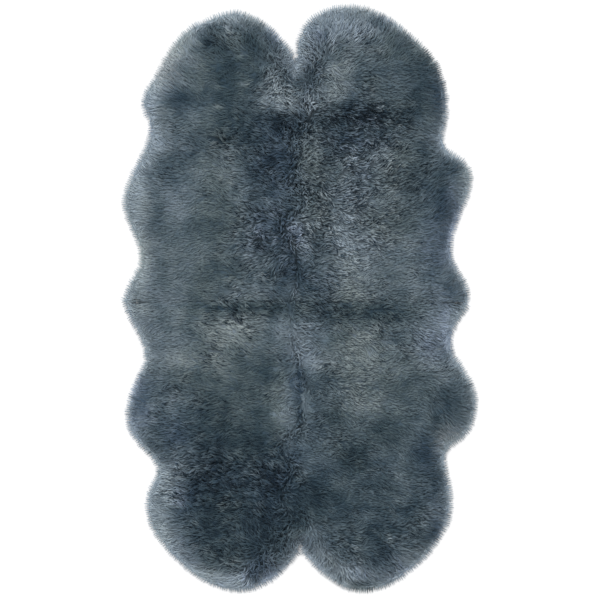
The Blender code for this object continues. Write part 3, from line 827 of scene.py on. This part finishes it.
LIES = (                         # and the areas where it falls more, or is tangled
    Lie(-340, 790, 60, 90, 60, 0.3),
    Lie(-230, 720, 90, 90, 0, 0.9),
    Lie(-140, 810, 50, 50, 20, 0.4),
    Lie(-70, 700, 50, 60, -52, 0.8),
    Lie(-10, 770, 40, 50, 0, 0.9),
    Lie(-20, 620, 80, 30, -22, 0.4),
    Lie(70, 800, 50, 60, -85, 0.5),
    Lie(180, 860, 80, 60, -60, 0.2),
    Lie(290, 800, 60, 60, -32, 0.3),
    Lie(100, 690, 70, 70, 10, 0.9),
    Lie(390, 620, 50, 60, 10, 0.2),
    Lie(-60, 550, 170, 45, 8),
    Lie(-110, 430, 80, 80, 15),
    Lie(-50, 240, 60, 60, 16, 0.3),
    Lie(65, 330, 60, 90, 18, 0.1),
    Lie(100, 215, 50, 50, 20, 0.2),
    Lie(250, 430, 60, 60, -30),
    Lie(300, 300, 60, 80, -26),
    Lie(415, 350, 60, 110, -45, 0.2),
    Lie(170, 120, 60, 50, 12),
    Lie(430, 150, 50, 60, -22, 0.3),
    Lie(-50, 115, 45, 45, -55, 0.5),
    Lie(50, 30, 70, 60, 15, 0.1),
    Lie(-410, 90, 60, 60, -14, 0.1),
    Lie(-200, -120, 80, 70, 32),
    Lie(200, -150, 70, 60, 14, 0.2),
    Lie(415, -100, 60, 60, 22, 0.1),
    Lie(-440, -90, 40, 50, -38, 0.2),
    Lie(-455, -260, 45, 60, -38, 0.2),
    Lie(-240, -230, 80, 60, 12, 0.1),
    Lie(-95, -220, 45, 50, -16, 0.3),
    Lie(0, -140, 60, 50, 0, 0.8),
    Lie(30, -220, 40, 60, -38, 0.6),
    Lie(180, -245, 50, 40, -40, 0.3),
    Lie(330, -200, 50, 40, -20, 0.2),
    Lie(-10, -350, 50, 90, 0, 0.8),
    Lie(440, -310, 60, 80, 34, 0.2),
    Lie(330, -470, 100, 110, 25, 0.1),
    Lie(180, -490, 60, 60, 0, 0.4),
    Lie(-80, -530, 80, 80, 25),
    Lie(80, -600, 60, 60, 8, 0.1),
    Lie(-220, -740, 80, 60, 20, 0.1),
    Lie(-110, -700, 60, 60, 18, 0.1),
    Lie(70, -750, 60, 60, 28, 0.2),
    Lie(210, -830, 90, 50, 12),
    Lie(370, -710, 50, 70, -35, 0.2),
    Lie(-300, 670, 45, 45, 40),
    Lie(-100, 670, 40, 40, -20),
    Lie(250, 770, 70, 45, -30),
    Lie(150, 565, 90, 35, 12),
    Lie(-400, 470, 45, 45, 30),
    Lie(130, 470, 60, 35, 20),
    Lie(300, 470, 40, 40, -20),
    Lie(400, 470, 45, 45, 35),
    Lie(-205, 320, 45, 90, 20),
    Lie(-300, 220, 45, 180, -20),
    Lie(150, 370, 60, 40, -20),
    Lie(400, 270, 50, 60, -30),
    Lie(100, 200, 50, 60, 12),
    Lie(190, 70, 130, 40, -18),
    Lie(-110, 70, 40, 40, -20),
    Lie(240, -130, 180, 45, 20),
    Lie(150, -290, 75, 70, 28),
    Lie(300, -250, 45, 70, -22),
    Lie(-210, -390, 60, 70, -20),
    Lie(400, -430, 50, 40, -30),
    Lie(-100, -700, 50, 70, 40),
    Lie(130, -710, 80, 60, -30),
    Lie(-215, -820, 80, 50, 35),
)
RIM_PULL = 80 * MM               # nearer the rim than this, it points outward
RIM_TURN = Cloud(60 * MM, 0.5, 6)  # give or take these radians
RIM_FINENESS = 0.45              # and its locks are finer by this share, and longer
RIM_SMOOTH = 55 * MM             # and the wool there is smooth,
RIM_CALM = 0.7                   # with its relief less by this share
TIP_LIMITS = (-16 * MM, -3 * MM)  # how far past the rim a tip may go: it stops inside it
TINT_CLOUD = Cloud(70 * MM, 0.3, 5)
TINT_SPREAD = 0.2
BROWNED_EDGE = (0.2, 1.2)        # browned wool thins out between these
FLOOR_CLEARANCE = 1.5 * MM
SEED = 20


def lock_template(cuts):
    """A three-sided spike one unit long, ridge up, cut across at shares of its length."""
    spike = bmesh.new()
    bmesh.ops.create_cone(
        spike, cap_ends=True, segments=3, radius1=1.0, radius2=0.0, depth=1.0
    )
    bmesh.ops.translate(spike, verts=spike.verts, vec=(0, 0, 0.5))
    bmesh.ops.remove_doubles(spike, verts=spike.verts, dist=WELD)
    for share in cuts:
        everything = spike.verts[:] + spike.edges[:] + spike.faces[:]
        bmesh.ops.bisect_plane(
            spike, geom=everything, plane_co=(0, 0, share), plane_no=(0, 0, 1)
        )
    bmesh.ops.triangulate(spike, faces=spike.faces)
    bmesh.ops.recalc_face_normals(spike, faces=spike.faces)
    spike.verts.index_update()
    shape = np.array([vertex.co for vertex in spike.verts])
    faces = np.array([[vertex.index for vertex in face.verts] for face in spike.faces])
    spike.free()
    radius = np.linalg.norm(shape[:, :2], axis=1, keepdims=True)
    shape[:, :2] /= np.maximum(radius, WELD)
    shape[:, :2] *= radius > WELD
    ridge = (shape[:, 2] < WELD) & (shape[:, 1] > 0.9)
    shape[ridge, 2] = BASE_SLANT
    return shape, faces


def grow_locks(kind, roots, bends, tips, widths, ridges, curls, shades, tints, starts):
    """Every lock as one mesh: a spike that follows a curve from root over bend to tip."""
    shape, faces = lock_template(kind.cuts)
    growth = shape[None, :, 2, None]
    middle = (1 - growth) ** 2 * roots[:, None] + growth ** 2 * tips[:, None]
    middle = middle + 2 * growth * (1 - growth) * bends[:, None]
    heading = unit((1 - growth) * (bends - roots)[:, None] + growth * (tips - bends)[:, None])
    lie = unit((tips - roots)[:, :2])
    side = np.stack((-lie[:, 1], lie[:, 0], np.zeros(len(lie))), axis=1)[:, None]
    crown = np.cross(heading, np.broadcast_to(side, heading.shape))
    width = widths[:, None, None] * (1 - growth ** LOCK_TAPER)
    curl = curls[:, None, None] * np.sin(2 * math.pi * growth)
    corners = middle + side * (shape[None, :, 0, None] * width + curl)
    corners = corners + crown * shape[None, :, 1, None] * width * ridges[:, None, None]
    corners[:, :, 2] = np.maximum(corners[:, :, 2], FLOOR_CLEARANCE / 3)
    across = palette_across(shades)[:, None] + shape[None, :, 0] * LOCK_MAP_WIDTH / 2
    starts = starts[:, None]
    up = palette_up(tints[:, None], starts + (1 - starts) * shape[None, :, 2])
    first = np.arange(len(roots))[:, None, None] * len(shape)
    places = np.stack((across, up), axis=2)
    return corners.reshape(-1, 3), (faces[None] + first).reshape(-1, 3), places.reshape(-1, 2)


def joined_mesh(name, parts):
    """One mesh from parts, each with its corners, triangles and places on the palette."""
    corners = np.concatenate([part[0] for part in parts])
    counts = np.cumsum([0] + [len(part[0]) for part in parts])
    faces = np.concatenate([part[1] + first for part, first in zip(parts, counts)])
    places = np.concatenate([part[2] for part in parts])
    mesh = bpy.data.meshes.new(name)
    mesh.vertices.add(len(corners))
    mesh.vertices.foreach_set("co", corners.ravel())
    mesh.loops.add(faces.size)
    mesh.loops.foreach_set("vertex_index", faces.ravel())
    mesh.polygons.add(len(faces))
    mesh.polygons.foreach_set("loop_start", np.arange(0, faces.size, 3))
    mesh.update(calc_edges=True)
    palette = mesh.uv_layers.new(name="OFBake")
    palette.uv.foreach_set("vector", places[faces.ravel()].ravel())
    mesh.shade_smooth()
    return mesh


def scattered(box, spacing, chance):
    """Uneven rows of places over a box, about a spacing apart."""
    low = np.array(box[0][:2])
    high = np.array(box[1][:2])
    row_gap = spacing * math.sqrt(3) / 2
    columns = np.arange(low[0], high[0], spacing)
    rows = np.arange(low[1], high[1], row_gap)
    across, along = np.meshgrid(columns, rows)
    across[1::2] += spacing / 2
    places = np.stack((across.ravel(), along.ravel()), axis=1)
    return places + chance.uniform(-SCATTER, SCATTER, places.shape) * spacing


def turned(directions, angles):
    """The directions, each turned by its own angle."""
    cosine, sine = np.cos(angles), np.sin(angles)
    across = directions[:, 0] * cosine - directions[:, 1] * sine
    along = directions[:, 0] * sine + directions[:, 1] * cosine
    return np.stack((across, along), axis=1)


def combing(places, depth, outward):
    """Which way the wool lies, and how clearly.

    It lies away from a parting that wanders about the lengthwise seam, and outward at the
    rim.
    """
    off_parting = places[:, 0] - CROSSING[0] + clouded(places, PARTING)
    side = np.tanh(off_parting / PARTING_WIDTH)[:, None]
    slant = np.radians(LIE_SLANT + area_sum(places, "slant", LIES))
    slant += clouded(places, LIE_CLOUD)
    tangle = TANGLE_TURN * area_sum(places, "tangle", LIES)
    slant += tangle * drift(places, TANGLE_WIDTH, TANGLE_LAYER)
    lie = side * np.stack((np.cos(slant), -np.sin(slant)), axis=1)
    rim_share = np.exp(-((depth / RIM_PULL) ** 2))[:, None]
    fan = clouded(places, RIM_TURN)
    fan += np.radians(area_sum(places, "turned", RIM_PATCHES))
    fanned = turned(outward, fan)
    lie = lie * (1 - rim_share) + fanned * rim_share
    return unit(lie), np.clip(np.linalg.norm(lie, axis=1), LEAST_STRENGTH, 1.0)


def choose_tints(places, chance):
    """The tint of each lock, from its area of the rug."""
    warmth = area_sum(places, "warmth") + clouded(places, TINT_CLOUD)
    warmth = warmth + chance.normal(0, TINT_SPREAD, len(places))
    tints = np.clip(np.rint((warmth + 1) / 2 * (UMBER - 1)), 0, UMBER - 1)
    from_crossing = (places - CROSSING) / MM
    for across, along, wide, long in BROWNED:
        off = ((from_crossing[:, 0] - across) / wide) ** 2
        off += ((from_crossing[:, 1] - along) / long) ** 2
        tints[np.exp(-off) > chance.uniform(*BROWNED_EDGE, len(places))] = UMBER
    return tints


Tufts = namedtuple("Tufts", "places turns rises shades")


def lay_tufts(pelt, chance):
    """Where locks draw together: each tuft leans, rises and is shaded its own way."""
    places = scattered(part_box(f"fleece_{pelt}"), TUFT_SPACING, chance)
    count = len(places)
    return Tufts(
        places,
        chance.normal(0, TUFT_TURN, count),
        chance.normal(*TUFT_RISE, count),
        chance.normal(0, TUFT_SHADE, count),
    )


def rooted(pelt, rim, spacing, chance):
    """Where locks grow on a pelt, with the wool's height there and the reading of the rim.

    The frame's fleece has gaps between its locks at the rim. Wool grows there too.
    """
    roots = scattered(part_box(f"fleece_{pelt}"), spacing, chance)
    top = wool_height(wool_tree([pelt]), roots)
    depth, outward, off_rim = rim.nearest(roots)
    by_rim = (depth > 0) & (depth < RIM_DEPTH) & (off_rim < depth + RIM_STEP / 2)
    top = np.where(np.isnan(top) & by_rim, RIM_EDGE_TOP + RIM_RISE * depth, top)
    kept = ~np.isnan(top) & (depth > ROOT_MARGIN)
    return roots[kept], top[kept], depth[kept], outward[kept]


def graded(pair, amount):
    """The first value of a pair, and its second times the amount."""
    return pair[0] + pair[1] * amount


def bent_top(top, tip_top, root_top, middle_top, edge_share, flatness):
    """How high each lock's bend is: a leaning lock's, a lying one's, or between them."""
    leaning = np.maximum(top, tip_top) + LEANING_RISE * edge_share
    missing = np.isnan(middle_top)
    middle_top = np.where(missing, (top + tip_top) / 2, middle_top) + MIDDLE_RISE
    lying = 2 * middle_top - (root_top + tip_top) / 2
    lying = np.minimum(lying, leaning + LYING_RISE)
    bend_top = leaning + (lying - leaning) * flatness
    return np.maximum(bend_top, root_top + BEND_LEAST)


def hold_at_rim(rim, tips, limits):
    """Draw back the tips that would go too far past the rim."""
    depth, outward, off_rim = rim.nearest(tips)
    back = np.maximum(-depth - limits, 0.0) * (off_rim < RIM_PULL)
    return tips - outward * back[:, None]


def pile_locks(pelt, rim, kind, tufts, chance):
    """The locks of one kind that cover a pelt."""
    roots, top, depth, outward = rooted(pelt, rim, kind.spacing, chance)
    count = len(roots)
    relief = relief_of(roots) * (1 - RIM_CALM * np.exp(-((depth / RIM_SMOOTH) ** 2)))
    rim_share = np.exp(-((depth / RIM_PULL) ** 2))
    nearest = np.linalg.norm(roots[:, None] - tufts.places[None], axis=2).argmin(axis=1)
    # The way it points
    lie, strength = combing(roots, depth, outward)
    turn = tufts.turns[nearest] * relief
    spread = graded(LOCK_TURN, relief) + WHORL_TURN * (1 - strength) ** 2
    turn += chance.normal(0, 1, count) * spread
    lie = turned(lie, turn)
    shadow_strand = chance.uniform(0, 1, count) < kind.strand_share * relief ** 2
    shadow_strand &= depth > STRAND_MARGIN
    # Its tip
    reach = kind.reach * chance.uniform(*VARIES, count)
    length = graded(LOCK_LENGTH, relief) + RIM_FINENESS * rim_share
    reach *= length * graded(CLEAR_LENGTH, strength)
    tips = roots + lie * reach[:, None]
    gather = graded(GATHER, relief) * chance.uniform(*GATHER_VARIES, count)
    gather = gather * (1 - rim_share)
    tuft_tips = tufts.places[nearest] + lie * (kind.reach * TUFT_POINT)
    tips += (tuft_tips - tips) * gather[:, None]
    limits = chance.uniform(*TIP_LIMITS, count)
    limits += area_sum(tips, "longer", RIM_PATCHES) * MM
    tips = hold_at_rim(rim, tips, limits)
    # Its heights
    tip_top = wool_height(WHOLE_WOOL, tips)
    tip_top = np.where(np.isnan(tip_top), FLOOR_CLEARANCE, tip_top)
    rise = (tufts.rises[nearest] + chance.normal(0, LOCK_RISE, count)) * relief
    edge_share = np.clip(depth / EDGE_WIDTH, EDGE_LEAST, 1.0)
    rise += STRAND_LIFT * shadow_strand
    tip_top = np.maximum(tip_top + rise * edge_share, FLOOR_CLEARANCE)
    root_top = np.maximum(top - ROOT_DEPTH, ROOT_LEAST * top)
    middle_top = wool_height(WHOLE_WOOL, roots + (tips - roots) * MIDDLE_SHARE)
    flatness = np.maximum(rim_share, SMOOTH_FLATNESS * (1 - relief))
    bend_top = bent_top(top, tip_top, root_top, middle_top, edge_share, flatness)
    bend_top = bend_top + STRAND_LIFT * shadow_strand
    # Its shade and thickness
    off_tuft = np.linalg.norm(roots - tufts.places[nearest], axis=1) / TUFT_SPACING
    shades = base_shade(tips, depth) + tufts.shades[nearest] * relief
    shades += CLEFT_SHADE * relief * (CLEFT_START - off_tuft)
    shades += RAISED_SHADE * np.maximum(relief - RAISED_RELIEF, 0.0)
    shades += (1 - chance.exponential(1, count)) * graded(LOCK_SHADE, relief)
    # painted shadow: the strands are painted dark for the shade in the clefts
    shades -= SHADOW_STRAND_SHADE * shadow_strand
    widths = kind.half_width * chance.uniform(*VARIES, count) * (1 - STRAND_THINNESS * shadow_strand)
    widths *= graded(LOCK_WIDTH, relief) * (1 - RIM_FINENESS * rim_share)
    roots = np.where(shadow_strand[:, None], tips + (roots - tips) * STRAND_REACH, roots)
    root_top = np.where(shadow_strand, bend_top - STRAND_ROOT_DROP, root_top)
    bends = roots + (tips - roots) * BEND_SHARE
    return grow_locks(
        kind,
        np.column_stack((roots, root_top)),
        np.column_stack((bends, bend_top)),
        np.column_stack((tips, tip_top)),
        widths,
        LOCK_FLATNESS * graded(LOCK_RIDGE, relief),
        chance.normal(0, LOCK_CURL, count) * (1 + shadow_strand),
        shades,
        choose_tints(tips, chance),
        ROOT_PALENESS * (1 - relief),
    )


WHOLE_WOOL = wool_tree(PELTS)
RIMS = {pelt: Rim(pelt) for pelt in PELTS}


# Wool: the matted body under the locks --------------------------------------------------
# Close to the hide the fibres stand so thick that no light comes through. This inner
# body keeps under the locks and closes the wool down to the hide.
BODY_TINT = 2
BODY_DROP = (4 * MM, 14 * MM)    # under the locks' tips, from smooth wool to tufts
BODY_RIM_DROP = 9 * MM           # and lower still towards the rim
BODY_PARTING_DROP = 14 * MM      # and where the wool parts
BODY_BOTTOM = 2.3 * MM
BODY_LEAST = 2 * MM              # its least thickness
SKIRT_REACH = 80 * MM            # nearer the rim than this, the body slopes down
SKIRT_MARGIN = 15 * MM           # to end this far inside it
# its colour is painted dark for the shade deep in the wool: darker low down, less dark where
# the wool lies smooth and the body is near its top
BODY_GROWTH = (0.30, 0.40)       # how far up its colour is, from the foot end to the head
BODY_SMOOTH_GROWTH = 0.30        # and further where the wool lies smooth
BODY_DEPTH_GROWTH = 0.1          # and less far at its foot
BODY_SHADE_SPREAD = 0.04         # keeps its places on the palette map apart


def wool_body(pelt, rim):
    """The frame's fleece without its rim, lowered, rounded and closed underneath."""
    body = upper_side(pelt)
    low = [vertex for vertex in body.verts if vertex.co.z < RIM_TOP]
    bmesh.ops.delete(body, geom=low, context="VERTS")
    bmesh.ops.subdivide_edges(body, edges=body.edges, cuts=1, use_grid_fill=True)
    inner = [vertex for vertex in body.verts if not vertex.is_boundary]
    bmesh.ops.smooth_vert(
        body, verts=inner, factor=0.5, use_axis_x=True, use_axis_y=True, use_axis_z=True
    )
    places = np.array([vertex.co[:2] for vertex in body.verts])
    drops = BODY_DROP[0] + (BODY_DROP[1] - BODY_DROP[0]) * relief_of(places)
    depth, outward, _off_rim = rim.nearest(places)
    drops += BODY_RIM_DROP * np.exp(-((depth / RIM_PULL) ** 2))
    drops += BODY_PARTING_DROP * (1 - combing(places, depth, outward)[1])
    for vertex, drop in zip(body.verts, drops):
        vertex.co.z = max(vertex.co.z - drop, BODY_BOTTOM + BODY_LEAST)
    border = [edge for edge in body.edges if edge.is_boundary]
    walls = bmesh.ops.extrude_edge_only(body, edges=border)["geom"]
    skirt = [item for item in walls if isinstance(item, bmesh.types.BMVert)]
    depth, outward, _off_rim = rim.nearest(np.array([vertex.co[:2] for vertex in skirt]))
    spread = np.where(depth < SKIRT_REACH, np.maximum(depth - SKIRT_MARGIN, 0.0), 0.0)
    for vertex, out in zip(skirt, outward * spread[:, None]):
        vertex.co += Vector((*out, 0.0))
        vertex.co.z = BODY_BOTTOM
    foot = [edge for edge in body.edges if edge.is_boundary]
    bmesh.ops.holes_fill(body, edges=foot)
    bmesh.ops.triangulate(body, faces=body.faces)
    bmesh.ops.recalc_face_normals(body, faces=body.faces)
    body.verts.index_update()
    corners = np.array([vertex.co for vertex in body.verts])
    faces = np.array([[vertex.index for vertex in face.verts] for face in body.faces])
    body.free()
    share = (corners - corners.min(axis=0)) / np.ptp(corners, axis=0)
    depth = rim.nearest(corners[:, :2])[0]
    across = palette_across(base_shade(corners[:, :2], depth))
    across = across + BODY_SHADE_SPREAD * share[:, 0]
    growth = BODY_GROWTH[0] + (BODY_GROWTH[1] - BODY_GROWTH[0]) * share[:, 1]
    growth += BODY_SMOOTH_GROWTH * np.clip(1 - relief_of(corners[:, :2]), 0, 1)
    up = palette_up(BODY_TINT, growth - BODY_DEPTH_GROWTH * (1 - share[:, 2]))
    return corners, faces, np.stack((across, up), axis=1)


# Wool: the fine fringe round the rim ----------------------------------------------------
# At the rim the wool hangs to the floor and ends in single fibres, which the shears have
# left uneven. They stand a few millimetres past the locks.
FRINGE = LockKind(0.33 * MM, 0.45 * MM, reach=0.0, cuts=(0.55,), strand_share=0.0)
FRINGE_ROOT = (18 * MM, 42 * MM)  # how far inside the rim its fibres start
FRINGE_WOOL_TOP = 8 * MM         # the wool's height there, where the frame has none
FRINGE_ROOT_HEIGHT = (0.1, 0.5)  # of the wool's
FRINGE_TIP_HEIGHT_MM = (1.0, 9.0)
FRINGE_BEND_RISE_MM = (1, 6)
FRINGE_VARIES = (0.7, 1.3)       # a fibre's width, times this
FRINGE_CURL = 0.5 * MM
FRINGE_POINT_SPACING = 6.5 * MM  # fibres draw together into small points
FRINGE_POINT_JITTER = 0.15
FRINGE_POINT_SHARPNESS = 1.5
FRINGE_GATHER = (0.35, 0.95)
FRINGE_BETWEEN = -3 * MM         # how far past the rim they reach between two points
FRINGE_POINT = (6 * MM, 11 * MM)  # and at a point
FRINGE_STRAY = 1.6 * MM
FRINGE_SWAY = Cloud(130 * MM, 10 * MM, 6)  # how far the points lean along the rim
FRINGE_SHADE = 0.2
POINT_SHADE = 0.45


def fringe_fibres(rim, chance):
    """Single fibres that leave the wool's rim, a little gathered into points."""
    count = int(rim.length / FRINGE.spacing)
    reach = chance.uniform(0, rim.length, count)
    inset = chance.uniform(*FRINGE_ROOT, count)
    roots = rim.at(reach) - rim.way_out(reach) * inset[:, None]
    points = np.arange(0.5, rim.length / FRINGE_POINT_SPACING) * FRINGE_POINT_SPACING
    points += chance.normal(0, FRINGE_POINT_JITTER * FRINGE_POINT_SPACING, len(points))
    near = np.clip(np.searchsorted(points, reach), 1, len(points) - 1)
    near -= reach - points[near - 1] < points[near] - reach
    gather = chance.uniform(*FRINGE_GATHER, count)
    reach_out = reach + (points[near] - reach) * gather
    off_point = np.abs(reach_out - points[near]) / (FRINGE_POINT_SPACING / 2)
    peaks = chance.uniform(*FRINGE_POINT, len(points))[near]
    nearness = np.exp(-((FRINGE_POINT_SHARPNESS * off_point) ** 2))
    past = FRINGE_BETWEEN + (peaks - FRINGE_BETWEEN) * nearness
    past += chance.normal(0, FRINGE_STRAY, count)
    past += area_sum(rim.at(reach_out), "longer", RIM_PATCHES) * MM
    reach_out += clouded(rim.at(points), FRINGE_SWAY)[near]
    tips = rim.at(reach_out) + rim.way_out(reach_out) * past[:, None]
    top = np.nan_to_num(wool_height(WHOLE_WOOL, roots), nan=FRINGE_WOOL_TOP)
    root_top = top * chance.uniform(*FRINGE_ROOT_HEIGHT, count)
    tip_top = chance.uniform(*FRINGE_TIP_HEIGHT_MM, count) * MM
    bend_rise = chance.uniform(*FRINGE_BEND_RISE_MM, count) * MM
    bend_top = (root_top + tip_top) / 2 + bend_rise
    bends = (roots + tips) / 2
    # the rim's painted light makes these fibres paler
    shades = base_shade(tips, inset / 2) + chance.normal(0, FRINGE_SHADE, count)
    shades += chance.normal(0, POINT_SHADE, len(points))[near]
    return grow_locks(
        FRINGE,
        np.column_stack((roots, root_top)),
        np.column_stack((bends, bend_top)),
        np.column_stack((tips, tip_top)),
        FRINGE.half_width * chance.uniform(*FRINGE_VARIES, count),
        np.full(count, LOCK_FLATNESS),
        chance.normal(0, FRINGE_CURL, count),
        shades,
        choose_tints(tips, chance),
        np.full(count, ROOT_PALENESS),
    )


wool = wool_material()
for number, pelt in enumerate(PELTS):
    chance = np.random.default_rng([SEED, number])
    rim = RIMS[pelt]
    tufts = lay_tufts(pelt, chance)
    parts = [wool_body(pelt, rim)]
    parts += [pile_locks(pelt, rim, kind, tufts, chance) for kind in (STAPLE, WISP)]
    pile = new_piece(f"wool_{pelt}", joined_mesh(f"wool_{pelt}", parts), wool)
    fringe_mesh = joined_mesh(f"fringe_{pelt}", [fringe_fibres(rim, chance)])
    fringe = new_piece(f"fringe_{pelt}", fringe_mesh, wool)
    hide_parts(f"hide_{pelt}")
    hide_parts(f"fleece_{pelt}")


# Floor and light ------------------------------------------------------------------------
# A plain pale floor under a broad, soft light that comes a little more from the head end.
FLOOR_SIZE = 14.0
SKY_STRENGTH = 0.80
SUN_STRENGTH = 1.8
SUN_WIDTH = math.radians(22)
SUN_TILT = (math.radians(-38), math.radians(-22), 0)

floor_shape = bmesh.new()
bmesh.ops.create_grid(floor_shape, x_segments=1, y_segments=1, size=FLOOR_SIZE / 2)
floor_mesh = bpy.data.meshes.new("floor")
floor_shape.to_mesh(floor_mesh)
floor_shape.free()
floor = bpy.data.objects.new("floor", floor_mesh)
bpy.context.scene.collection.objects.link(floor)
floor_paint, floor_shader, _add, _join = node_material("pale floor")
floor_shader.inputs["Base Color"].default_value = (0.92, 0.92, 0.92, 1.0)
floor_shader.inputs["Roughness"].default_value = 0.9
floor_mesh.materials.append(floor_paint)

world = bpy.data.worlds.new("studio")
world.use_nodes = True
world.node_tree.nodes["Background"].inputs["Color"].default_value = (1.0, 1.0, 1.0, 1.0)
world.node_tree.nodes["Background"].inputs["Strength"].default_value = SKY_STRENGTH
bpy.context.scene.world = world

key_data = bpy.data.lights.new("key", "SUN")
key_data.energy = SUN_STRENGTH
key_data.angle = SUN_WIDTH
key = bpy.data.objects.new("key", key_data)
key.rotation_euler = SUN_TILT
bpy.context.scene.collection.objects.link(key)
bpy.context.scene.view_settings.view_transform = "Standard"
